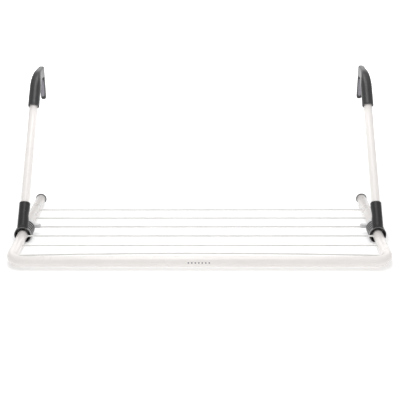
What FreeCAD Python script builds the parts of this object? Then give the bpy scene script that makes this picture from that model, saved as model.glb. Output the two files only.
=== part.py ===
import FreeCAD, Part
import math
import os

import Sketcher

from FreeCAD import Placement, Rotation, Vector

# Hanging clothes drying rack.  The frame is a flat U of tube with six rods between its arms.  An
# upright with a hook stands on each arm and folds inwards about it.
# Origin: middle of the rack, on the surface it stands on.  +Z up, -Y is the front bar's side.
# Every piece is drawn about the front bar's axis: Y runs back from it, Z up from the frame's plane.

DIMS = [
    ("rack_width", 770),       # arm axis to arm axis
    ("front_y", -232.5),       # front bar's axis in the part's frame
    ("plane_z", 16.2),         # height of the frame's plane when the rack stands on its collars
    ("tube_dia", 22), ("tube_wall", 1.2), ("corner_rad", 32), ("arm_length", 347.5),
    ("line_dia", 3.5), ("line_first", 27), ("line_pitch", 50), ("line_inset", 8.5), ("line_bow", 11),
    ("cap_dia", 25), ("cap_flange", 2.5), ("cap_depth", 14), ("cap_skin", 2), ("cap_round", 1.2),
    ("collar_dia", 37), ("collar_front", 130.5), ("collar_length", 42.5), ("run_play", 0.16),
    ("mouth_dia", 31), ("mouth_depth", 20),
    ("groove_first", 8), ("groove_pitch", 9), ("groove_width", 4.6), ("groove_depth", 1.8),
    ("lean", 46),              # uprights' slope above the frame's plane, degrees
    ("foot_y", 124),           # where an upright's axis meets the frame's plane
    ("sleeve_dia", 24), ("sleeve_top", 79), ("sleeve_round", 2),
    ("post_dia", 19), ("post_wall", 1.2), ("post_low", 32), ("post_high", 372),
    ("ring_dia", 32), ("ring_front", 173.3), ("ring_length", 15),
    ("lug_reach", 31), ("lug_width", 9), ("lug_low", -2.5), ("lug_high", 6),
    ("bush_dia", 28), ("bush_length", 9), ("bush_gap", 0.25),
    ("rivet_dia", 3.2), ("rivet_head", 6), ("rivet_sunk", 1.6), ("rivet_recess", 0.4), ("rivet_length", 6),
    ("hook_low", 319), ("hook_dia", 26), ("hook_top", 297.5), ("hook_roof", 272), ("sleeve_over", 4),
    ("blade_start", 347),      # where a hook's blade leaves its sleeve, along the upright
    ("roof_start", 386),       # where the throat's roof begins, along the upright
    ("roof_rise", 8), ("elbow_rad", 6), ("knuckle_rad", 9), ("blade_round", 3.5),
    ("taper_y", 372), ("taper_run", 60), ("taper_spread", 1), ("edge_margin", 2),
    ("leg_front", 462), ("leg_rear", 476), ("leg_low", 215), ("leg_wide", 12),
    ("pad_width", 9), ("pad_depth", 1.6), ("pad_low", 224), ("pad_high", 266), ("pad_round", 0.5),
    ("screw_dia", 3.5), ("screw_head", 7), ("screw_head_high", 2.2), ("screw_length", 9), ("hole_over", 1),
    ("screw_low_at", 62), ("screw_high_at", 350),
]

doc = FreeCAD.newDocument("drying_rack")
sheet = doc.addObject("Spreadsheet::Sheet", "Dims")
for row, (alias, value) in enumerate(DIMS, start=1):
    sheet.set("A%d" % row, alias)
    sheet.set("B%d" % row, str(value))
    sheet.setAlias("B%d" % row, alias)
doc.recompute()

SIDES = (("left", -1), ("right", 1))
RODS = 6
GROOVES = 4
TOUCH = 0.01  # mm within which two positions count as the same
nodes = []


def dim(alias):
    return float(getattr(sheet, alias))


def bind(obj, **formulas):
    """Bind an object's properties to the sheet; __ in a name stands for a dot."""
    for name, formula in formulas.items():
        obj.setExpression(name.replace("__", "."), formula)
    return obj


def cells(formula):
    """Put the sheet's name in front of every alias that a formula uses."""
    for alias, _ in sorted(DIMS, key=lambda item: -len(item[0])):
        formula = formula.replace("@" + alias, "Dims." + alias)
    return formula


def primitive(kind, name, **formulas):
    obj = doc.addObject("Part::" + kind, name)
    return bind(obj, **{key: cells(text) for key, text in formulas.items()})


def turned(obj, axis, angle):
    """Turn a primitive about an axis through its own base; its place stays bound to the sheet."""
    obj.Placement.Rotation = Rotation(axis, angle)
    return obj


def at(obj, x="0", y="0", z="0"):
    return bind(obj, Placement__Base__x=cells(x), Placement__Base__y=cells(y),
                Placement__Base__z=cells(z))


def joined(name, *pieces):
    obj = doc.addObject("Part::MultiFuse", name)
    obj.Shapes = list(pieces)
    return obj


def cut(name, base, *tools):
    tool = tools[0] if len(tools) == 1 else joined(name + "_tools", *tools)
    obj = doc.addObject("Part::Cut", name)
    obj.Base, obj.Tool = base, tool
    return obj


def common(name, one, other):
    obj = doc.addObject("Part::Common", name)
    obj.Base, obj.Tool = one, other
    return obj


def node(obj, label, side=0, x="0", y="0"):
    """Name a finished sub-part and set it from the front bar's axis to its place in the part."""
    obj.Label = label
    at(obj, "%d * @rack_width / 2 + %s" % (side, x), "@front_y + " + y, "@plane_z")
    nodes.append(obj)
    return obj


def plane(body, role):
    return next(item for item in body.Origin.OriginFeatures if item.Role == role)


def sketch_on(body, role, name, offset=Vector(0, 0, 0)):
    sketch = body.newObject("Sketcher::SketchObject", name)
    sketch.AttachmentSupport = (plane(body, role), [""])
    sketch.MapMode = "FlatFace"
    sketch.AttachmentOffset = Placement(offset, Rotation())
    return sketch


def along_y(name, radius, start, length):
    """Cylinder on the arm's axis, from start towards the rear."""
    rod = turned(primitive("Cylinder", name, Radius=radius, Height=length), Vector(1, 0, 0), -90)
    return at(rod, y=start)


def on_post(obj, distance, away="0"):
    """Set a piece on an upright's axis at a distance from its foot, moved away square to it."""
    return at(obj, y="@foot_y + (%s) * cos(@lean) - (%s) * sin(@lean)" % (distance, away),
              z="(%s) * sin(@lean) + (%s) * cos(@lean)" % (distance, away))


def along_post(name, radius, start, length):
    rod = primitive("Cylinder", name, Radius=radius, Height=length)
    turned(rod, Vector(1, 0, 0), dim("lean") - 90)
    return on_post(rod, start)


def check_and_export():
    doc.recompute()
    broken = [obj.Name for obj in doc.Objects if set(obj.State) & {"Invalid", "Error"}]
    for obj in nodes:
        if obj.Shape.isNull() or not obj.Shape.isValid():
            broken.append(obj.Label)
    if broken:
        raise RuntimeError("failed: " + ", ".join(broken))
    os.makedirs("parts", exist_ok=True)
    for obj in nodes:
        obj.Shape.exportStep("parts/%s.step" % obj.Label)


def make_frame_tube():
    """Bent U of tube: a ring section swept along two arms, two corners and the front bar."""
    body = doc.addObject("PartDesign::Body", "frame_tube")
    half, length, bend = dim("rack_width") / 2, dim("arm_length"), dim("corner_rad")
    path = sketch_on(body, "XY_Plane", "frame_path")
    corner = half - bend
    path.addGeometry([
        Part.LineSegment(Vector(-half, length, 0), Vector(-half, bend, 0)),
        Part.ArcOfCircle(Part.Circle(Vector(-corner, bend, 0), Vector(0, 0, 1), bend),
                         math.pi, 1.5 * math.pi),
        Part.LineSegment(Vector(-corner, 0, 0), Vector(corner, 0, 0)),
        Part.ArcOfCircle(Part.Circle(Vector(corner, bend, 0), Vector(0, 0, 1), bend),
                         1.5 * math.pi, 2 * math.pi),
        Part.LineSegment(Vector(half, bend, 0), Vector(half, length, 0)),
    ], False)
    section = sketch_on(body, "XZ_Plane", "frame_section")
    bind(section, AttachmentOffset__Base__z=cells("-@arm_length"))
    centre = Vector(-half, 0, 0)
    outer = section.addGeometry(Part.Circle(centre, Vector(0, 0, 1), dim("tube_dia") / 2), False)
    inner = section.addGeometry(Part.Circle(centre, Vector(0, 0, 1), dim("post_dia") / 2), False)
    for index, (circle, formula) in enumerate(((outer, "@tube_dia"),
                                               (inner, "@tube_dia - 2 * @tube_wall"))):
        number = section.addConstraint(
            Sketcher.Constraint("Diameter", circle, dim("post_dia") - index))
        section.setExpression("Constraints[%d]" % number, cells(formula))
    tube = body.newObject("PartDesign::AdditivePipe", "frame_pipe")
    tube.Profile, tube.Spine = section, (path, ["Edge%d" % (n + 1) for n in range(5)])
    doc.recompute()
    holes = sketch_on(body, "YZ_Plane", "line_holes")
    for index in range(RODS):
        spot = Vector(dim("line_first") + index * dim("line_pitch"), 0, 0)
        holes.addGeometry(Part.Circle(spot, Vector(0, 0, 1), dim("line_dia") / 2), False)
    drill = body.newObject("PartDesign::Pocket", "line_drilling")
    drill.Profile, drill.Midplane = holes, True
    bind(drill, Length=cells("@rack_width"))
    rivets = sketch_on(body, "XY_Plane", "rivet_holes")
    rivet_y = dim("collar_front") + dim("mouth_depth") - dim("bush_gap") - dim("bush_length") / 2
    for _, side in SIDES:
        spot = Vector(side * half, rivet_y, 0)
        rivets.addGeometry(Part.Circle(spot, Vector(0, 0, 1), dim("rivet_dia") / 2), False)
    drill = body.newObject("PartDesign::Pocket", "rivet_drilling")
    drill.Profile = rivets
    bind(drill, Length=cells("@tube_dia"))
    return body


def make_front_line():
    """The first rod bows back at its middle, as a slice of one very large ring."""
    rod = primitive("Torus", "front_rod", Radius2="@line_dia / 2")
    half, bow = "(@rack_width / 2 + @line_inset)", "@line_bow"
    radius = "((%s * %s + %s * %s) / (2 * %s))" % (half, half, bow, bow, bow)
    bind(rod, Radius1=cells(radius), Angle3=cells("2 * asin(%s / %s)" % (half, radius)))
    doc.recompute()
    rod.Placement.Rotation = Rotation(Vector(0, 0, 1), 90 - rod.Angle3.Value / 2)
    return node(rod, "line_1", y="@line_first + @line_bow - " + radius)


def make_straight_line(count):
    """Rod between the arms, with both ends inside the tube."""
    rod = primitive("Cylinder", "rod_%d" % count, Radius="@line_dia / 2",
                    Height="@rack_width + 2 * @line_inset")
    turned(rod, Vector(0, 1, 0), 90)
    return node(rod, "line_%d" % count, x="(-@rack_width / 2 - @line_inset)",
                y="@line_first + %d * @line_pitch" % (count - 1))


def make_end_cap(name):
    """Hollow plug in the tube's end with a thin rounded flange against the rim."""
    flange = primitive("Cylinder", name + "_flange", Radius="@cap_dia / 2", Height="@cap_flange")
    at(turned(flange, Vector(1, 0, 0), -90), y="@arm_length")
    doc.recompute()
    rim = doc.addObject("Part::Fillet", name + "_rim")
    rim.Base = flange
    rear = dim("arm_length") + dim("cap_flange")
    rim.Edges = [(number, dim("cap_round"), dim("cap_round"))
                 for number, edge in enumerate(flange.Shape.Edges, start=1)
                 if abs(edge.CenterOfMass.y - rear) < TOUCH]
    plug = along_y(name + "_plug", "@tube_dia / 2 - @tube_wall", "@arm_length - @cap_depth",
                   "@cap_depth")
    core = along_y(name + "_core", "@tube_dia / 2 - @tube_wall - @cap_skin",
                   "@arm_length - @cap_depth", "@cap_depth")
    return cut(name, joined(name + "_solid", rim, plug), core)


def make_hinge_body(name):
    """Ribbed collar that turns on the arm, with a leaning sleeve that holds the upright."""
    collar = along_y(name + "_collar", "@collar_dia / 2", "@collar_front", "@collar_length")
    grooves = []
    for index in range(GROOVES):
        start = "@collar_front + @groove_first + %d * @groove_pitch" % index
        around = along_y("%s_around_%d" % (name, index), "@collar_dia", start, "@groove_width")
        core = along_y("%s_core_%d" % (name, index), "@collar_dia / 2 - @groove_depth", start,
                       "@groove_width")
        grooves.append(cut("%s_groove_%d" % (name, index), around, core))
    sleeve = along_post(name + "_sleeve", "@sleeve_dia / 2", "0", "@sleeve_top")
    doc.recompute()
    rim = doc.addObject("Part::Fillet", name + "_rim")
    rim.Base = sleeve
    top = dim("sleeve_top") * math.sin(math.radians(dim("lean")))
    rim.Edges = [(number, dim("sleeve_round"), dim("sleeve_round"))
                 for number, edge in enumerate(sleeve.Shape.Edges, start=1)
                 if abs(edge.CenterOfMass.z - top) < TOUCH]
    solid = joined(name + "_solid", cut(name + "_ribbed", collar, *grooves), rim)
    front = primitive("Box", name + "_front", Length="@rack_width", Width="@collar_front",
                      Height="@rack_width")
    at(front, x="-@rack_width / 2", z="-@rack_width / 2")
    floor = primitive("Box", name + "_floor", Length="@collar_dia * 2", Width="@rack_width",
                      Height="@collar_dia")
    at(floor, x="-@collar_dia", z="-@plane_z - @collar_dia")
    mouth = along_y(name + "_mouth", "@mouth_dia / 2", "@collar_front", "@mouth_depth")
    bore = along_y(name + "_bore", "(@tube_dia + @run_play) / 2", "@collar_front",
                   "@collar_length")
    socket = along_post(name + "_socket", "@post_dia / 2", "@post_low", "@sleeve_top")
    hole = screw_hole(name + "_pilot", "@screw_low_at")
    return cut(name, solid, front, floor, mouth, bore, socket, hole)


def on_rear_of_post(obj, distance, depth):
    """Set a screw piece on the rear side of an upright, its axis square to the upright's."""
    turned(obj, Vector(1, 0, 0), dim("lean") - 180)
    return on_post(obj, distance, "-(%s)" % depth)


def screw_hole(name, distance):
    hole = primitive("Cylinder", name, Radius="@screw_dia / 2", Height="@screw_length")
    return on_rear_of_post(hole, distance, "@hook_dia / 2 - @screw_length + @hole_over")


def make_screw(name, distance, outside):
    """Pan-head screw through a sleeve's rear wall into the upright."""
    shank = primitive("Cylinder", name + "_shank", Radius="@screw_dia / 2",
                      Height="@screw_length - @post_wall")
    on_rear_of_post(shank, distance, "%s - @screw_length + @post_wall" % outside)
    head = primitive("Cylinder", name + "_head", Radius="@screw_head / 2",
                     Height="@screw_head_high")
    on_rear_of_post(head, distance, outside)
    return joined(name, shank, head)


def make_detent_ring(name, side):
    """Ring fixed behind the collar; its inward lug is notched over the fourth rod."""
    ring = along_y(name + "_band", "@ring_dia / 2", "@ring_front", "@ring_length")
    reach = "(@lug_reach - @lug_width / 2)"
    lug = primitive("Box", name + "_lug", Length=reach, Width="@lug_width",
                    Height="@lug_high - @lug_low")
    lug_y = "@line_first + 3 * @line_pitch + @lug_width / 4"
    start = "0" if side < 0 else "-" + reach
    at(lug, x=start, y=lug_y + " - @lug_width / 2", z="@lug_low")
    nose = primitive("Cylinder", name + "_nose", Radius="@lug_width / 2",
                     Height="@lug_high - @lug_low")
    at(nose, x=str(-side) + " * " + reach, y=lug_y, z="@lug_low")
    bore = along_y(name + "_bore", "@tube_dia / 2", "@ring_front", "@ring_length")
    rod = primitive("Cylinder", name + "_rod", Radius="@line_dia / 2", Height="@rack_width")
    turned(rod, Vector(0, 1, 0), 90)
    at(rod, x="-@rack_width / 2", y="@line_first + 3 * @line_pitch")
    return cut(name, joined(name + "_solid", ring, lug, nose), bore, rod)


def make_stop_bush(name):
    """Bush on the arm inside the collar's mouth; it keeps the collar from sliding forward."""
    start = "@collar_front + @mouth_depth - @bush_gap - @bush_length"
    ring = along_y(name + "_ring", "@bush_dia / 2", start, "@bush_length")
    bore = along_y(name + "_bore", "@tube_dia / 2", start, "@bush_length")
    return cut(name, ring, bore, make_rivet(name + "_seat"))


def make_rivet(name):
    """Countersunk rivet from below, through the bush and the tube's lower wall."""
    y = "@collar_front + @mouth_depth - @bush_gap - @bush_length / 2"
    head = primitive("Cone", name + "_head", Radius1="@rivet_head / 2", Radius2="@rivet_dia / 2",
                     Height="@rivet_sunk")
    at(head, y=y, z="-@bush_dia / 2 + @rivet_recess")
    shank = primitive("Cylinder", name + "_shank", Radius="@rivet_dia / 2",
                      Height="@rivet_length")
    at(shank, y=y, z="-@bush_dia / 2 + @rivet_recess")
    return joined(name, head, shank)


def make_post(name):
    """Upright tube on the leaning axis, from the hinge body's socket into the hook."""
    length = "@post_high - @post_low"
    tube = along_post(name + "_tube", "@post_dia / 2", "@post_low", length)
    bore = along_post(name + "_bore", "@post_dia / 2 - @post_wall", "@post_low", length)
    return cut(name, tube, bore, screw_hole(name + "_low_hole", "@screw_low_at"),
               screw_hole(name + "_high_hole", "@screw_high_at"))


def make_hook(name):
    """Sleeve on the upright that bends back into a narrowing bridge with a leg behind it."""
    lean = math.radians(dim("lean"))
    radius, top, roof = dim("hook_dia") / 2, dim("hook_top"), dim("hook_roof")
    front, rear, low = dim("leg_front"), dim("leg_rear"), dim("leg_low")

    def beside(distance, away):
        return Vector(0, dim("foot_y") + distance * math.cos(lean) - away * math.sin(lean),
                      distance * math.sin(lean) + away * math.cos(lean))

    bend = beside(dim("post_high"), radius)
    swell = (top - bend.z) / (1 - math.cos(lean))
    crown = Vector(0, bend.y + swell * math.sin(lean), top)
    middle = Vector(0, crown.y - swell * math.sin(lean / 2), top - swell + swell * math.cos(lean / 2))
    root_outer, root_inner = beside(dim("blade_start"), radius), beside(dim("blade_start"), -radius)
    inner = beside(dim("roof_start"), -radius)
    roof_y = inner.y + dim("roof_rise")
    knuckle, elbow, tip = dim("knuckle_rad"), dim("elbow_rad"), (rear - front) / 2
    shy = 1 - math.cos(math.radians(45))
    edges = [
        Part.makeLine(root_inner, root_outer),
        Part.makeLine(root_outer, bend),
        Part.Arc(bend, middle, crown).toShape(),
        Part.makeLine(crown, Vector(0, rear - knuckle, top)),
        Part.Arc(Vector(0, rear - knuckle, top), Vector(0, rear - knuckle * shy, top - knuckle * shy),
                 Vector(0, rear, top - knuckle)).toShape(),
        Part.makeLine(Vector(0, rear, top - knuckle), Vector(0, rear, low + tip)),
        Part.Arc(Vector(0, rear, low + tip), Vector(0, rear - tip, low),
                 Vector(0, front, low + tip)).toShape(),
        Part.makeLine(Vector(0, front, low + tip), Vector(0, front, roof - elbow)),
        Part.Arc(Vector(0, front, roof - elbow), Vector(0, front - elbow * shy, roof - elbow * shy),
                 Vector(0, front - elbow, roof)).toShape(),
        Part.makeLine(Vector(0, front - elbow, roof), Vector(0, roof_y, roof)),
        Part.makeLine(Vector(0, roof_y, roof), inner),
        Part.makeLine(inner, root_inner),
    ]
    outline = doc.addObject("Part::Feature", name + "_outline")
    outline.Shape = Part.Face(Part.Wire(edges))
    slab = doc.addObject("Part::Extrusion", name + "_slab")
    slab.Base, slab.DirMode, slab.Dir = outline, "Custom", Vector(1, 0, 0)
    slab.Solid, slab.Symmetric = True, True
    bind(slab, LengthFwd=cells("@hook_dia"))

    wide, thin, y = radius, dim("leg_wide") / 2, dim("taper_y")
    knee, start, end = y + dim("taper_run"), root_outer.y - wide, rear + knuckle
    half = [(wide, start), (wide, y), (thin + dim("taper_spread"), knee), (thin, end)]
    corners = half + [(-x, y) for x, y in reversed(half)] + half[:1]
    plan = doc.addObject("Part::Feature", name + "_plan_outline")
    plan.Shape = Part.Face(Part.makePolygon([Vector(x, y, 0) for x, y in corners]))
    block = doc.addObject("Part::Extrusion", name + "_plan")
    block.Base, block.DirMode, block.Dir, block.Solid = plan, "Custom", Vector(0, 0, 1), True
    bind(block, LengthFwd=cells("@hook_top + @knuckle_rad"))
    blade = common(name + "_blade", slab, block)
    doc.recompute()

    soft = doc.addObject("Part::Fillet", name + "_soft")
    soft.Base = blade
    soft.Edges = [(number, dim("blade_round"), dim("blade_round"))
                  for number, edge in enumerate(blade.Shape.Edges, start=1) if is_long_edge(edge)]
    sleeve = along_post(name + "_sleeve", "@hook_dia / 2", "@hook_low",
                        "@post_high - @hook_low + @sleeve_over")
    socket = along_post(name + "_socket", "@post_dia / 2", "@hook_low", "@post_high - @hook_low")
    recess = primitive("Box", name + "_recess", Length="@pad_width", Width="@pad_depth / 2",
                       Height="@pad_high - @pad_low")
    at(recess, x="-@pad_width / 2", y="@leg_front", z="@pad_low")
    hole = screw_hole(name + "_pilot", "@screw_high_at")
    return cut(name, joined(name + "_solid", soft, sleeve), socket, recess, hole)


def is_long_edge(edge):
    """True for the edges that run along a hook's blade, on either side of it."""
    box, margin = edge.BoundBox, dim("edge_margin")
    return (box.YMin > dim("taper_y") + margin and abs(edge.CenterOfMass.x) > margin
            and box.XLength < dim("hook_dia") / 3)


def make_pad(name):
    """Soft strip set into the front face of the hook's leg."""
    strip = primitive("Box", name + "_strip", Length="@pad_width", Width="@pad_depth",
                      Height="@pad_high - @pad_low")
    at(strip, x="-@pad_width / 2", y="@leg_front - @pad_depth / 2", z="@pad_low")
    doc.recompute()
    pad = doc.addObject("Part::Fillet", name)
    pad.Base = strip
    proud = dim("leg_front") - dim("pad_depth") / 2
    pad.Edges = [(number, dim("pad_round"), dim("pad_round"))
                 for number, edge in enumerate(strip.Shape.Edges, start=1)
                 if abs(edge.CenterOfMass.y - proud) < TOUCH]
    return pad


node(make_frame_tube(), "frame_tube")
make_front_line()
for count in range(2, RODS + 1):
    make_straight_line(count)

for word, side in SIDES:
    node(make_end_cap("cap_" + word), "end_cap_" + word, side)
    node(make_detent_ring("ring_" + word, side), "detent_ring_" + word, side)
    node(make_stop_bush("bush_" + word), "stop_bush_" + word, side)
    node(make_rivet("rivet_" + word), "stop_rivet_" + word, side)
    node(make_hinge_body("hinge_" + word), "hinge_body_" + word, side)
    node(make_post("post_" + word), "upright_tube_" + word, side)
    node(make_hook("grip_" + word), "hook_" + word, side)
    node(make_pad("strip_" + word), "hook_pad_" + word, side)
    node(make_screw("low_screw_" + word, "@screw_low_at", "@sleeve_dia / 2"),
         "upright_screw_" + word, side)
    node(make_screw("high_screw_" + word, "@screw_high_at", "@hook_dia / 2"),
         "hook_screw_" + word, side)

check_and_export()
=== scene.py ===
import math

import bmesh
import bpy
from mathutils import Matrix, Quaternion, Vector


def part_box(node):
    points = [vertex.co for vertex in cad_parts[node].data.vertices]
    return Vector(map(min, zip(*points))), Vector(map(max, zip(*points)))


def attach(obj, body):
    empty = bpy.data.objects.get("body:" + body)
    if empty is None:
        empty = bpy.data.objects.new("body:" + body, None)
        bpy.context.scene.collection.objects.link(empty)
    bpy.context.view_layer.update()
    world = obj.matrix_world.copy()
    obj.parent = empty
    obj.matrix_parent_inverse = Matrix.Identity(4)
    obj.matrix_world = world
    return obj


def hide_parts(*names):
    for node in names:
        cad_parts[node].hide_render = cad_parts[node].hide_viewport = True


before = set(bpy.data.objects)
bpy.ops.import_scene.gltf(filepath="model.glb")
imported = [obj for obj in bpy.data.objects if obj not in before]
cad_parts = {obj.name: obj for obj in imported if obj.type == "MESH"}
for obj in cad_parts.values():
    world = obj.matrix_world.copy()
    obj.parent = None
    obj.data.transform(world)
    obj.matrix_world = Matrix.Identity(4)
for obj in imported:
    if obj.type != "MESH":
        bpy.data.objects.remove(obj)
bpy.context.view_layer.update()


# ---------------------------------------------------------------------------------------------
# Studio: a wide pale table top under a broad overhead softbox, with a weak fill from the front, a
# low glow from behind and an even white room.  The camera stands in front of the front bar.

MM = 0.001
scene = bpy.context.scene

bpy.ops.mesh.primitive_plane_add(size=16, location=(0, 0, 0))
table_top = bpy.context.object
table_top.name = "table_top"

room = bpy.data.worlds.new("white_room")
scene.world = room
room.use_nodes = True
room.node_tree.nodes["Background"].inputs["Color"].default_value = (1, 1, 1, 1)
room.node_tree.nodes["Background"].inputs["Strength"].default_value = 0.52
scene.view_settings.view_transform = "Standard"


def softbox(name, place, target, size, watts):
    """Rectangular lamp at a place, turned to face its target."""
    lamp = bpy.data.lights.new(name, "AREA")
    lamp.shape, lamp.energy = "RECTANGLE", watts
    lamp.size, lamp.size_y = size
    box = bpy.data.objects.new(name, lamp)
    box.location = place
    box.rotation_euler = (Vector(target) - Vector(place)).to_track_quat("-Z", "Y").to_euler()
    scene.collection.objects.link(box)


softbox("overhead_softbox", place=(-0.05, 0.1, 1.9), target=(0, 0.1, 0), size=(2.0, 1.1), watts=20)
softbox("front_fill", place=(0.3, -2.6, 1.7), target=(0, 0, 0.1), size=(2.4, 1.8), watts=6.5)
softbox("back_glow", place=(0, 3.2, 1.3), target=(0, 0, 0.1), size=(4.5, 1.7), watts=26)

tube_radius = 11 * MM
tube_low, tube_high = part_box("frame_tube")
front_bar_y = tube_low.y + tube_radius
rods_z = (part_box("line_4")[0].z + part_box("line_4")[1].z) / 2
aside, standoff, eye_height = 0.0257, 1.5540, 0.7437
tilt, roll, pan = 68.56, 0.326, 0.709
camera_data = bpy.data.cameras.new("camera")
camera_data.sensor_width, camera_data.lens = 36, 76.43
camera_data.dof.use_dof = False
camera = bpy.data.objects.new("camera", camera_data)
camera.location = (aside, front_bar_y - standoff, rods_z + eye_height)
camera.rotation_euler = [math.radians(turn) for turn in (tilt, roll, pan)]
scene.collection.objects.link(camera)
scene.camera = camera


class Signal:
    """A value, colour or vector on its way through the nodes of the material being mixed."""

    tree = None

    def __init__(self, socket):
        self.socket = socket

    @classmethod
    def node(cls, kind, settings=None, sockets=None, result=0):
        """Output of a new node, with its settings and its input sockets filled in."""
        made = cls.tree.nodes.new(kind)
        for key, value in (settings or {}).items():
            setattr(made, key, value)
        for key, value in (sockets or {}).items():
            if isinstance(value, Signal):
                cls.tree.links.new(value.socket, made.inputs[key])
            else:
                made.inputs[key].default_value = value
        return cls(made.outputs[result])

    def maths(self, operation, first, second):
        return Signal.node("ShaderNodeMath", {"operation": operation}, {0: first, 1: second})

    def __add__(self, other):
        return self.maths("ADD", self, other)

    def __sub__(self, other):
        return self.maths("SUBTRACT", self, other)

    def __rsub__(self, other):
        return self.maths("SUBTRACT", other, self)

    def __mul__(self, other):
        return self.maths("MULTIPLY", self, other)

    def __lt__(self, other):
        return self.maths("LESS_THAN", self, other)

    def __abs__(self):
        return Signal.node("ShaderNodeMath", {"operation": "ABSOLUTE"}, {0: self})

    __radd__ = __add__


def start_material(name):
    """Empty material with a Principled shader, ready for Signal nodes."""
    material = bpy.data.materials.new(name)
    material.use_nodes = True
    Signal.tree = material.node_tree
    return material, material.node_tree.nodes["Principled BSDF"]


def feed(shader, **inputs):
    """Send signals or plain values to a shader's sockets; __ in a name stands for a space."""
    for name, value in inputs.items():
        socket = shader.inputs[name.replace("__", " ")]
        if isinstance(value, Signal):
            Signal.tree.links.new(value.socket, socket)
        else:
            socket.default_value = value


def place():
    """Where a point of the rack is, in metres, fixed to the piece it is on."""
    return Signal.node("ShaderNodeTexCoord", result="Object")


def grain(size, detail=3.0, rough=0.55, warp=0.0):
    """Noise whose lumps are about the given size in metres, between 0 and 1."""
    return Signal.node("ShaderNodeTexNoise", sockets={
        "Vector": place(), "Scale": 1 / size, "Detail": detail, "Roughness": rough,
        "Distortion": warp})


def spread(signal, low, high):
    """Stretch a signal so that low becomes 0 and high becomes 1."""
    return Signal.node("ShaderNodeMapRange", {"clamp": True},
                       {"Value": signal, "From Min": low, "From Max": high})


def dye(mask, below, above):
    """Colour that runs from below, a colour or a signal, to above as the mask runs from 0 to 1."""
    if not isinstance(below, Signal):
        below = (*below, 1)
    return Signal.node("ShaderNodeMix", {"data_type": "RGBA"}, {0: mask, 6: below, 7: (*above, 1)},
                       result=2)


glowing_board, board = start_material("table_top_board")
# The table top glows, dim near the middle and bright far out: painted light that keeps the far
# table white while shadows still show near the rack.
glow_near, glow_far = 0.6, 1.6
far_out = Signal.node("ShaderNodeVectorMath", {"operation": "LENGTH"}, {0: place()}, result=1)
feed(board, Base__Color=dye(spread(grain(0.4), 0.3, 0.7), (0.93, 0.93, 0.93), (0.95, 0.95, 0.95)),
     Roughness=spread(grain(0.02), 0.0, 1.0) * 0.1 + 0.5, Emission__Strength=1,
     Emission__Color=dye(spread(far_out, glow_near, glow_far), (0.20, 0.20, 0.20),
                         (0.85, 0.85, 0.85)))
table_top.data.materials.append(glowing_board)


# ---------------------------------------------------------------------------------------------
# Frame tube: one length of 22 mm steel tube with a 1.2 mm wall, bent at the two front corners.
# It is powder coated white, which leaves a faint orange peel, a little dust and rubbed spots.
# A small printed row of dots stands where the maker's print would be.

def piece_from(name, mesh, body, *nodes):
    """Object for a mesh that stands for CAD nodes and rides on their body."""
    piece = bpy.data.objects.new(name, mesh)
    scene.collection.objects.link(piece)
    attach(piece, body)
    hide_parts(*nodes)
    return piece


def finish_piece(piece, material):
    """Give a piece its material, its material slot's name and smooth shading."""
    piece.data.materials.clear()
    piece.data.materials.append(material)
    for face in piece.data.polygons:
        face.use_smooth = True


def skin_rings(name, rings, loop=False):
    """Mesh that joins rings one after another; loop joins the last to the first, else both cap."""
    shape = bmesh.new()
    made = [[shape.verts.new(point) for point in ring] for ring in rings]
    pairs = list(zip(made, made[1:])) + ([(made[-1], made[0])] if loop else [])
    for one, other in pairs:
        for k in range(len(one)):
            j = (k + 1) % len(one)
            shape.faces.new((one[k], one[j], other[j], other[k]))
    if not loop:
        shape.faces.new(made[0])
        shape.faces.new(made[-1])
    bmesh.ops.recalc_face_normals(shape, faces=shape.faces)
    mesh = bpy.data.meshes.new(name)
    shape.to_mesh(mesh)
    shape.free()
    return mesh


def ring_at(centre, across, upward, radius, sides):
    """Points of a circle in the plane of across and upward."""
    return [centre + (across * math.cos(turn) + upward * math.sin(turn)) * radius
            for turn in (2 * math.pi * k / sides for k in range(sides))]


def rings_along(path, radii, sides):
    """Round sections square to a path that is level or stays in one upright plane."""
    upward = Vector((0, 0, 1))
    rings = []
    for k, point in enumerate(path):
        run = (path[min(k + 1, len(path) - 1)] - path[max(k - 1, 0)]).normalized()
        across = run.cross(upward).normalized()
        rings.append(ring_at(point, across, across.cross(run), radii[k], sides))
    return rings


def hollow_tube(name, path, radius, bore, sides=56):
    """Open tube: its outer skin, its two cut ends and its bore."""
    outside = rings_along(path, [radius] * len(path), sides)
    inside = rings_along(path, [bore] * len(path), sides)
    return skin_rings(name, outside + inside[::-1], loop=True)


tube_bore, bend_radius, bend_lead, cap_flange = 9.8 * MM, 32 * MM, 20 * MM, 2.5 * MM
arm_x = tube_high.x - tube_radius
arm_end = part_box("end_cap_left")[1].y - cap_flange
bend_x, bend_y = arm_x - bend_radius, front_bar_y + bend_radius
frame_path = [Vector((-arm_x, arm_end, rods_z)), Vector((-arm_x, bend_y + bend_lead, rods_z))]
for middle_x, start in ((-bend_x, 180), (bend_x, 270)):
    for step in range(0, 91, 5):
        turn = math.radians(start + step)
        frame_path.append(Vector((middle_x + bend_radius * math.cos(turn),
                                  bend_y + bend_radius * math.sin(turn), rods_z)))
frame_path += [Vector((arm_x, bend_y + bend_lead, rods_z)), Vector((arm_x, arm_end, rods_z))]


def relief(height, depth, under=None):
    """Surface bump from a height signal; depth is in metres."""
    sockets = {"Height": height, "Distance": depth, "Strength": 1.0}
    if under:
        sockets["Normal"] = under
    return Signal.node("ShaderNodeBump", sockets=sockets)


def coordinate(axis):
    """One coordinate of a point of the rack, in metres: 0 across, 1 back, 2 up."""
    return Signal.node("ShaderNodeSeparateXYZ", sockets={"Vector": place()}, result=axis)


def distance(across, upward):
    """Length of the line that has these two offsets."""
    return Signal.node("ShaderNodeMath", {"operation": "SQRT"},
                       {0: across * across + upward * upward})


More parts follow.
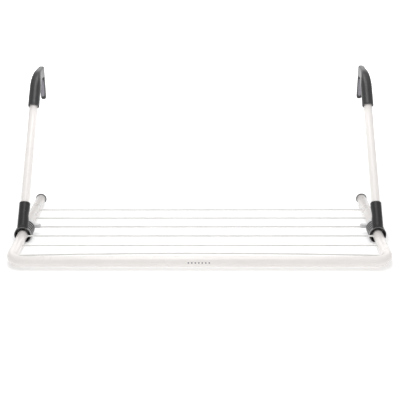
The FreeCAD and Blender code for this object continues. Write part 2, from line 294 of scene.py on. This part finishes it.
def printed_dots():
    """1 on a row of round dots on the front bar's face, and 0 elsewhere."""
    half_pitch, dot_radius, half_row, dots_z = 3.5 * MM, 1.6 * MM, 23 * MM, rods_z + 1.5 * MM
    across = coordinate(0)
    beside = Signal.node("ShaderNodeMath", {"operation": "PINGPONG"}, {0: across, 1: half_pitch})
    dots = distance(beside, coordinate(2) - dots_z) < dot_radius
    return dots * (abs(across) < half_row) * (coordinate(1) < front_bar_y)


def powder_coat(name, printed):
    """White powder coat: broad clouds, orange peel, specks of dust and small rubbed spots."""
    material, coat = start_material(name)
    cloud, peel, dust = grain(90 * MM), grain(1.6 * MM, 2), grain(0.5 * MM, 4, 0.7)
    rubs = spread(grain(14 * MM, 4, 0.6, 0.3), 0.68, 0.80)
    colour = dye(spread(cloud, 0.35, 0.65), (0.90, 0.865, 0.84), (0.87, 0.835, 0.81))
    colour = dye(rubs * 0.2, colour, (0.76, 0.73, 0.71))
    if printed:
        colour = dye(printed_dots(), colour, (0.16, 0.17, 0.19))
    feed(coat, Base__Color=colour,
         Roughness=0.24 + cloud * 0.08 + rubs * 0.12 + spread(dust, 0.55, 0.8) * 0.05,
         Normal=relief(peel, 0.03 * MM, relief(dust, 0.005 * MM)),
         Coat__Weight=0.35, Coat__Roughness=0.12, IOR=1.5)
    return material


frame_tube = piece_from("bent_frame_tube", hollow_tube("bent_frame_tube", frame_path, tube_radius,
                                                       tube_bore), "frame", "frame_tube")
finish_piece(frame_tube, powder_coat("white_powder_coat_printed", True))
plain_coat = powder_coat("white_powder_coat", False)


# ---------------------------------------------------------------------------------------------
# Drying rods: 3.5 mm steel rod in a white plastic coat, pushed through holes in the arms' inner
# walls.  Where a rod meets the tube, the coat has run into a small collar.  The rod nearest the
# front bar is bowed back in the middle.

RODS = 6
rod_radius, coat_run, coat_swell = 1.75 * MM, 1.6 * MM, 1.1 * MM


def rod_coat():
    """White plastic coat, slightly cloudy, with scuffs where laundry has slid."""
    material, coat = start_material("white_rod_coat")
    cloud, drawn = grain(35 * MM), grain(1.1 * MM, 3)
    scuff = spread(grain(6 * MM, 5, 0.75, 0.8), 0.6, 0.75)
    colour = dye(spread(cloud, 0.3, 0.7), (0.77, 0.765, 0.75), (0.70, 0.695, 0.68))
    feed(coat, Base__Color=dye(scuff * 0.4, colour, (0.66, 0.65, 0.63)),
         Roughness=0.32 + cloud * 0.12 + scuff * 0.2, Normal=relief(drawn, 0.03 * MM),
         Coat__Weight=0.2, IOR=1.48)
    return material


def rod_path(node):
    """Points of a rod from arm to arm, closer where its coat swells, and its radius at each."""
    swell_steps, half_steps = 5, 12
    low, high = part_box(node)
    wall_x, end_x = arm_x - tube_radius, high.x
    ends, bow = low.y + rod_radius, high.y - low.y - 2 * rod_radius
    stations = [-end_x, -wall_x]
    stations += [-wall_x + coat_run * k / swell_steps for k in range(1, swell_steps + 1)]
    stations += [-wall_x * (1 - k / half_steps) for k in range(1, half_steps)]
    xs = stations + [0] + [-x for x in reversed(stations)]
    path = [Vector((x, ends + bow * (1 - (x / end_x) ** 2), rods_z)) for x in xs]
    radii = []
    for x in xs:
        swollen = max(0.0, 1 - max(0.0, wall_x - abs(x)) / coat_run)
        radii.append(rod_radius + coat_swell * swollen ** 2.5)
    return path, radii


rod_material = rod_coat()
for count in range(1, RODS + 1):
    node = "line_%d" % count
    rings = rings_along(*rod_path(node), sides=20)
    rod = piece_from("drying_rod_%d" % count, skin_rings("drying_rod", rings), "frame", node)
    finish_piece(rod, rod_material)


# ---------------------------------------------------------------------------------------------
# End caps: plug with a thin flange in the rear end of each arm.  It is charcoal polypropylene, as
# are the hinge mouldings, bushes and hooks, with the fine spark-eroded grain of the tool and paler
# sharp edges, as rubbed wear and as painted highlight.  The greys of the caps, hinges and hooks
# differ as painted light and shade.

SIDES = (("left", -1), ("right", 1))


def worn_and_highlit_edges(radius, low, high):
    """1 on sharp outside edges, where handling rubs the surface and a highlight is painted, and 0
    elsewhere.
    """
    corner = Signal.node("ShaderNodeNewGeometry", result="Pointiness")
    return spread(corner, low, high) * spread(grain(radius), 0.35, 0.65)


def rib_highlight_and_shade(colour):
    """Colour with the tops of the collars' ribs paled as painted highlight and polish, and the
    grooves between them darkened as painted shade.
    """
    rib_tops, crest, flank, groove = 18.8 * MM, 18.1 * MM, 17.4 * MM, 16.9 * MM
    crest_highlight_grey, groove_shade_grey, reach = (0.24, 0.24, 0.24), (0.003, 0.003, 0.003), 43 * MM
    collar_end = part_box("hinge_body_left")[0].y + reach
    out = distance(abs(coordinate(0)) - arm_x, coordinate(2) - rods_z)
    ribbed = (coordinate(1) < collar_end) * (out < rib_tops)
    colour = dye(spread(out, flank, crest) * ribbed * 0.9, colour, crest_highlight_grey)
    return dye((1 - spread(out, groove, flank)) * ribbed * 0.85, colour, groove_shade_grey)


def charcoal(name, light, pale_edge_share, rib_light=False):
    """Charcoal moulding; light is its grey, the third argument the share of pale sharp edge (rubbed
    wear and painted highlight), and the fourth paints highlight on the rib crests and shade in the
    grooves of a hinge's collar."""
    material, plastic = start_material(name)
    tool, flow, cloud = grain(0.45 * MM, 3, 0.6), grain(7 * MM, 4, 0.6, 0.8), grain(30 * MM)
    # Pale sharp edges: rubbed wear and painted highlight.
    rub_and_highlight = worn_and_highlit_edges(2.5 * MM, 0.52, 0.60) * pale_edge_share
    dusty = spread(grain(1.8 * MM, 6, 0.75), 0.58, 0.8)
    dark, pale = (light, light, light * 1.07), (light * 1.45, light * 1.45, light * 1.5)
    colour = dye(spread(flow, 0.3, 0.75) * 0.6 + spread(cloud, 0.3, 0.7) * 0.4, dark, pale)
    colour = dye(dusty * 0.12, colour, (0.16, 0.16, 0.165))
    colour = dye(rub_and_highlight, colour, (0.27, 0.27, 0.28))
    # On a hinge's collar: painted highlight and polish on the rib crests, painted shade in the
    # grooves.
    if rib_light:
        colour = rib_highlight_and_shade(colour)
    feed(plastic, Base__Color=colour, Roughness=0.30 + flow * 0.10 + dusty * 0.12 - rub_and_highlight * 0.1,
         Normal=relief(tool, 0.04 * MM, relief(flow, 0.05 * MM)), IOR=1.49,
         Specular__IOR__Level=0.5)
    return material


def lathe(name, outline, centre, run, sides=64):
    """Turned shape: a closed outline of (distance along run, radius) spun about it."""
    least = 1e-6  # radius in metres of a point on the axis
    across = run.orthogonal().normalized()
    upward = run.cross(across)
    rings = [ring_at(centre + run * along, across, upward, max(radius, least), sides)
             for along, radius in outline]
    return skin_rings(name, rings, loop=True)


def rounded(corners, radius, steps=4):
    """Closed outline with its corners rounded, each by the radius or as much as fits."""
    fits = 0.45  # share of an edge that one corner may take up
    outline = []
    count = len(corners)
    for k, corner in enumerate(corners):
        spot = Vector(corner)
        before, after = Vector(corners[k - 1]) - spot, Vector(corners[(k + 1) % count]) - spot
        reach = min(radius, before.length * fits, after.length * fits)
        start, end = spot + before.normalized() * reach, spot + after.normalized() * reach
        for step in range(steps + 1):
            share = step / steps
            outline.append((1 - share) ** 2 * start + 2 * share * (1 - share) * spot
                           + share ** 2 * end)
    return [tuple(point) for point in outline]


# The caps, hinges and hooks are one charcoal plastic; their greys 0.008, 0.016 and 0.027 differ as
# painted shade and light.
cap_material = charcoal("charcoal_cap", 0.008, 0.5)
plug_depth, plug_radius, plug_bore, plug_floor = 14 * MM, 9.75 * MM, 7.8 * MM, 0.5 * MM
flange_radius, cap_centre, cap_edge = 12.5 * MM, 0.01 * MM, 0.9 * MM
cap_outline = rounded([(-plug_depth, plug_radius), (0, plug_radius), (0, flange_radius),
                       (cap_flange, flange_radius), (cap_flange, cap_centre),
                       (plug_floor, cap_centre), (plug_floor, plug_bore),
                       (-plug_depth, plug_bore)], cap_edge)
for word, side in SIDES:
    cap = lathe("end_cap", cap_outline, Vector((side * arm_x, arm_end, rods_z)), Vector((0, 1, 0)))
    finish_piece(piece_from("tube_end_cap_" + word, cap, "frame", "end_cap_" + word),
                 cap_material)


# ---------------------------------------------------------------------------------------------
# Detent rings: pale translucent moulding clamped on each arm behind its collar, with a thumb lug
# over the fourth rod.  Its edges are soft, as moulded, and it glows a little where light enters.

def softened(node, rounds, share):
    """A CAD node's shape with every edge rounded as in a moulding: remeshed, smoothed, thinned."""
    rough = bpy.data.objects.new(node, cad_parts[node].data.copy())
    scene.collection.objects.link(rough)
    fused = rough.modifiers.new("fused", "REMESH")
    fused.mode, fused.voxel_size = "VOXEL", 0.5 * MM
    eased = rough.modifiers.new("eased", "SMOOTH")
    eased.factor, eased.iterations = 0.5, rounds
    thinned = rough.modifiers.new("thinned", "DECIMATE")
    thinned.ratio = share
    bpy.context.view_layer.update()
    made = bpy.data.meshes.new_from_object(
        rough.evaluated_get(bpy.context.evaluated_depsgraph_get()))
    bpy.data.objects.remove(rough)
    made.name = node
    return made


pale_ring, ring_shader = start_material("pale_translucent_ring")
ring_cloud, ring_grain = grain(12 * MM, 3), grain(0.8 * MM, 3)
feed(ring_shader, Base__Color=dye(spread(ring_cloud, 0.3, 0.7), (0.86, 0.86, 0.865),
                                  (0.80, 0.80, 0.81)),
     Roughness=0.28 + ring_cloud * 0.15, Normal=relief(ring_grain, 0.03 * MM), IOR=1.49,
     Transmission__Weight=0.25)
for word in ("left", "right"):
    node = "detent_ring_" + word
    ring = piece_from("moulded_" + node, softened(node, rounds=4, share=0.35), "frame", node)
    finish_piece(ring, pale_ring)


# ---------------------------------------------------------------------------------------------
# Hinge mouldings: one-piece charcoal collar and sleeve.  The ribbed collar turns on the arm, its
# wide mouth towards the front bar, and the sleeve grips the upright.

lean = math.radians(46)  # the uprights' slope above the frame's plane
climb = Vector((0, math.cos(lean), math.sin(lean)))
outward = Vector((0, -math.sin(lean), math.cos(lean)))
foot = Vector((0, front_bar_y + 124 * MM, rods_z))

# A lighter grey than the caps, as painted light, with painted highlight on the collar's rib crests
# and painted shade in its grooves.
hinge_material = charcoal("charcoal_hinge", 0.016, 0.8, True)


def waisted(mesh, side):
    """Draw a hinge sleeve's inner side in a little between its collar and its rim."""
    waist_low, waist_run, waist_depth = 34 * MM, 34 * MM, 1.4 * MM
    bore_clear, side_clear = 11 * MM, 4 * MM
    for vertex in mesh.vertices:
        arm = vertex.co - Vector((side * arm_x, 0, 0)) - foot
        along, inward = arm.dot(climb), -side * arm.x
        skin = (arm - climb * along).length
        up = along - waist_low
        if skin > bore_clear and inward > side_clear and 0 < up < waist_run:
            pinch = math.sin(math.pi * up / waist_run) ** 2 * min(1, inward / side_clear - 1)
            vertex.co.x += side * waist_depth * pinch
    return mesh


def repaint(node, material):
    """Give a CAD node that stays in view its material."""
    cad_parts[node].data.materials.clear()
    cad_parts[node].data.materials.append(material)


for word, side in SIDES:
    node = "hinge_body_" + word
    shape = waisted(softened(node, rounds=2, share=0.5), side)
    hinge = piece_from("moulded_" + node, shape, word + "_upright", node)
    finish_piece(hinge, hinge_material)
    repaint("stop_bush_" + word, cap_material)


# ---------------------------------------------------------------------------------------------
# Uprights: straight 19 mm tube in the same powder coat, pushed into the sleeve below and into the
# hook above.

post_radius, post_bore, post_low, post_high = 9.5 * MM, 8.3 * MM, 32 * MM, 372 * MM
post_stations = (post_low, post_low + 0.4 * MM, (post_low + post_high) / 2, post_high)
for word, side in SIDES:
    base = foot + Vector((side * arm_x, 0, 0))
    post = hollow_tube("upright", [base + climb * at for at in post_stations], post_radius,
                       post_bore, 48)
    finish_piece(piece_from("powder_coated_upright_" + word, post, word + "_upright",
                            "upright_tube_" + word), plain_coat)


# ---------------------------------------------------------------------------------------------
# Hooks: charcoal moulding whose round sleeve bends back into a narrowing bridge, with a flat
# rounded leg behind it.  The left and right ones are alike.

hook_low, hook_radius = 319 * MM, 13 * MM
bridge_top, throat_roof = rods_z + 297.5 * MM, rods_z + 272 * MM
leg_front, leg_rear = front_bar_y + 462 * MM, front_bar_y + 476 * MM
leg_low, leg_half, bridge_half = rods_z + 215 * MM, 6 * MM, 7 * MM
elbow_radius, knuckle_radius = 6 * MM, 10 * MM
ROUND, FLAT = 2.0, 4.8  # how square a section is


def smooth_step(share):
    """0 to 1 with a level start and finish."""
    share = max(0.0, min(1.0, share))
    return share * share * (3 - 2 * share)


def signed_power(value, power):
    """Power of a number that keeps its sign."""
    return math.copysign(abs(value) ** power, value)


def hook_stations():
    """Sections of the hook from its mouth to its tip, each an inner and an outer point in the
    middle plane, its half width and how square it is."""
    sleeve_stations, rim, roof_slant = (0, 1.2, 3, 16, 30, 44.5), 0.9 * MM, 2 * MM
    outer_lead, inner_lead, roof_lead = 5 * MM, 10 * MM, 4 * MM
    stations = []
    for at in sleeve_stations:
        spot = foot + climb * (hook_low + at * MM)
        edge = hook_radius - (rim if at == 0 else 0)
        stations.append((spot - outward * edge, spot + outward * edge, edge, ROUND))
    outer_start = stations[-1][1] + climb * outer_lead
    inner_start = stations[-1][0] + climb * inner_lead
    swell = (bridge_top - outer_start.z) / (1 - math.cos(lean))
    crown_y = outer_start.y + swell * math.sin(lean)
    bends = 8
    for step in range(bends + 1):
        share = step / bends
        tilt = lean * (1 - share)
        outer = Vector((0, crown_y - swell * math.sin(tilt),
                        bridge_top - swell + swell * math.cos(tilt)))
        sweep = share * (throat_roof - inner_start.z)
        inner = Vector((0, inner_start.y + share * (crown_y + roof_lead - inner_start.y),
                        inner_start.z + sweep * (1.6 - 0.6 * share)))
        narrow = smooth_step(share * 0.75 + 0.05)
        stations.append((inner, outer, hook_radius + (bridge_half - hook_radius) * narrow,
                         ROUND + (FLAT - ROUND) * share))
    elbow = Vector((0, leg_front - elbow_radius, throat_roof - elbow_radius))
    knuckle = Vector((0, leg_rear - knuckle_radius, bridge_top - knuckle_radius))
    for step in (1, 2):
        y = crown_y + (elbow.y - crown_y) * step / 3
        narrow = hook_radius + (bridge_half - hook_radius) * smooth_step(0.8 + 0.1 * step)
        stations.append((Vector((0, y + roof_slant, throat_roof)), Vector((0, y, bridge_top)),
                         narrow, FLAT))
    for step in range(bends + 1):
        turn = math.radians(90 - 90 * step / bends)
        ray = Vector((0, math.cos(turn), math.sin(turn)))
        outer = knuckle + ray * knuckle_radius
        if step == 0:
            outer.y = elbow.y
        half = bridge_half + (leg_half - bridge_half) * step / bends
        stations.append((elbow + ray * elbow_radius, outer, half, FLAT))
    tip = (leg_rear - leg_front) / 2
    leg_top = stations[-1][0].z
    for share in (0.15, 0.5, 0.85, 1.0):
        z = leg_top + (leg_low + tip - leg_top) * share
        stations.append((Vector((0, leg_front, z)), Vector((0, leg_rear, z)), leg_half, FLAT))
    for step in range(1, 8):
        turn = math.radians(12 * step)
        z, half = leg_low + tip - tip * math.sin(turn), tip * math.cos(turn)
        middle = (leg_front + leg_rear) / 2
        stations.append((Vector((0, middle - half, z)), Vector((0, middle + half, z)),
                         leg_half * (math.cos(turn) ** 0.6), FLAT - 0.35 * step))
    return stations


def hook_ring(station, x, sides=40):
    """Rounded section between a station's inner and outer points."""
    inner, outer, half, square = station
    middle, reach = (inner + outer) / 2, (outer - inner) / 2
    ring = []
    for k in range(sides):
        turn = 2 * math.pi * k / sides
        up = signed_power(math.cos(turn), 2 / square)
        across = signed_power(math.sin(turn), 2 / square)
        ring.append(middle + reach * up + Vector((x + half * across, 0, 0)))
    return ring


def hook_mesh(x):
    """Hook skin with its mouth hollow around the upright, the hollow's floor first."""
    mouth = []
    for at, edge in ((14, 9.6), (1.4, 9.6), (0.1, 10.4)):
        spot = foot + climb * (hook_low + at * MM)
        mouth.append((spot - outward * edge * MM, spot + outward * edge * MM, edge * MM, ROUND))
    return skin_rings("hook", [hook_ring(station, x) for station in mouth + hook_stations()])


# The lightest of the three charcoal greys, as painted light.
hook_material = charcoal("charcoal_hook", 0.027, 1.0)
for word, side in SIDES:
    hook = piece_from("moulded_hook_" + word, hook_mesh(side * arm_x), word + "_upright",
                      "hook_" + word)
    finish_piece(hook, hook_material)
    finer = hook.modifiers.new("finer", "SUBSURF")
    finer.levels = finer.render_levels = 1


# ---------------------------------------------------------------------------------------------
# Grip pads: soft lilac-grey strip pressed into the front of each hook's leg, slightly crowned, so
# that the hook doesn't slip or scratch.

pad_material, pad_shader = start_material("lilac_grip_pad")
pad_cloud, pad_grain = grain(9 * MM, 4), grain(0.5 * MM, 2)
pad_ridge = 0.32 * MM
pad_height = Signal.node("ShaderNodeTexWave", {"wave_type": "BANDS", "bands_direction": "Z"},
                         {"Vector": place(), "Scale": 1 / (2 * math.pi) / pad_ridge})
feed(pad_shader, Base__Color=dye(spread(pad_cloud, 0.3, 0.7), (0.34, 0.33, 0.37),
                                 (0.29, 0.28, 0.315)),
     Roughness=0.62 + pad_cloud * 0.15, IOR=1.45,
     Normal=relief(pad_height, 0.06 * MM, relief(pad_grain, 0.02 * MM)))


def pad_mesh(node):
    """Crowned strip with rounded ends, following the CAD strip's box."""
    low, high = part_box(node)
    middle = (low + high) / 2
    half_width, half_height = (high.x - low.x) / 2, (high.z - low.z) / 2
    steps, sides = 12, 24
    rings = []
    for step in range(steps + 1):
        slope = math.pi * step / steps - math.pi / 2
        z = middle.z + half_height * math.sin(slope)
        body = max(0.02, math.cos(slope)) ** 0.35
        ring = []
        for k in range(sides):
            turn = 2 * math.pi * k / sides
            x = middle.x + half_width * body * signed_power(math.cos(turn), 0.5)
            y = middle.y + (middle.y - low.y) * body * signed_power(math.sin(turn), 0.7)
            ring.append(Vector((x, y, z)))
        rings.append(ring)
    return skin_rings("grip_pad", rings)


for word in ("left", "right"):
    node = "hook_pad_" + word
    pad = piece_from("soft_" + node, pad_mesh(node), word + "_upright", node)
    finish_piece(pad, pad_material)


# ---------------------------------------------------------------------------------------------
# Fasteners: zinc-plated pan-head screws with a cross recess, square to the upright at the back of
# each sleeve and hook, and the countersunk rivet of each stop bush.

zinc, zinc_shader = start_material("zinc_plate")
zinc_cloud, zinc_turned = grain(3 * MM, 4, 0.6, 0.5), grain(0.25 * MM, 2)
feed(zinc_shader, Base__Color=dye(spread(zinc_cloud, 0.3, 0.7), (0.62, 0.61, 0.60),
                                  (0.50, 0.495, 0.48)),
     Metallic=0.9 + zinc_cloud * 0.1, Roughness=0.28 + zinc_cloud * 0.2,
     Normal=relief(zinc_turned, 0.02 * MM))


def screw_mesh(seat):
    """Domed head on a plain shank that points into the upright; its seat is under the head."""
    shank, shank_radius = 7 * MM, 1.7 * MM
    outline = [(-shank, 0), (-shank, shank_radius), (0, shank_radius), (0, 3.4 * MM),
               (0.8 * MM, 3.5 * MM), (1.6 * MM, 2.7 * MM), (2.2 * MM, 1.2 * MM), (2.25 * MM, 0)]
    return lathe("screw", outline, seat, -outward, 32)


def cross_cut(screw, top):
    """Cut a cross recess into a screw whose head's top is at the given point."""
    slot_length, slot_width, slot_depth = 3.6 * MM, 0.75 * MM, 2.4 * MM
    for angle in (30, 120):
        bpy.ops.mesh.primitive_cube_add(size=1)
        blade = bpy.context.object
        blade.scale = (slot_length, slot_width, slot_depth)
        blade.rotation_mode = "QUATERNION"
        blade.rotation_quaternion = ((-outward).to_track_quat("Z", "Y")
                                     @ Quaternion((0, 0, 1), math.radians(angle)))
        blade.location = top
        recess = screw.modifiers.new("recess", "BOOLEAN")
        recess.operation, recess.object, recess.solver = "DIFFERENCE", blade, "EXACT"
        bpy.context.view_layer.update()
        cut = bpy.data.meshes.new_from_object(
            screw.evaluated_get(bpy.context.evaluated_depsgraph_get()))
        screw.modifiers.clear()
        screw.data = cut
        bpy.data.objects.remove(blade)


sleeve_radius, head_height = 12 * MM, 2.2 * MM
for word, side in SIDES:
    for kind, at, outside in (("upright", 62 * MM, sleeve_radius), ("hook", 350 * MM, hook_radius)):
        node = kind + "_screw_" + word
        axis_point = foot + Vector((side * arm_x, 0, 0)) + climb * at
        screw = piece_from("cross_" + node, screw_mesh(axis_point - outward * outside),
                           word + "_upright", node)
        finish_piece(screw, zinc)
        cross_cut(screw, axis_point - outward * (outside + head_height))
    repaint("stop_rivet_" + word, zinc)
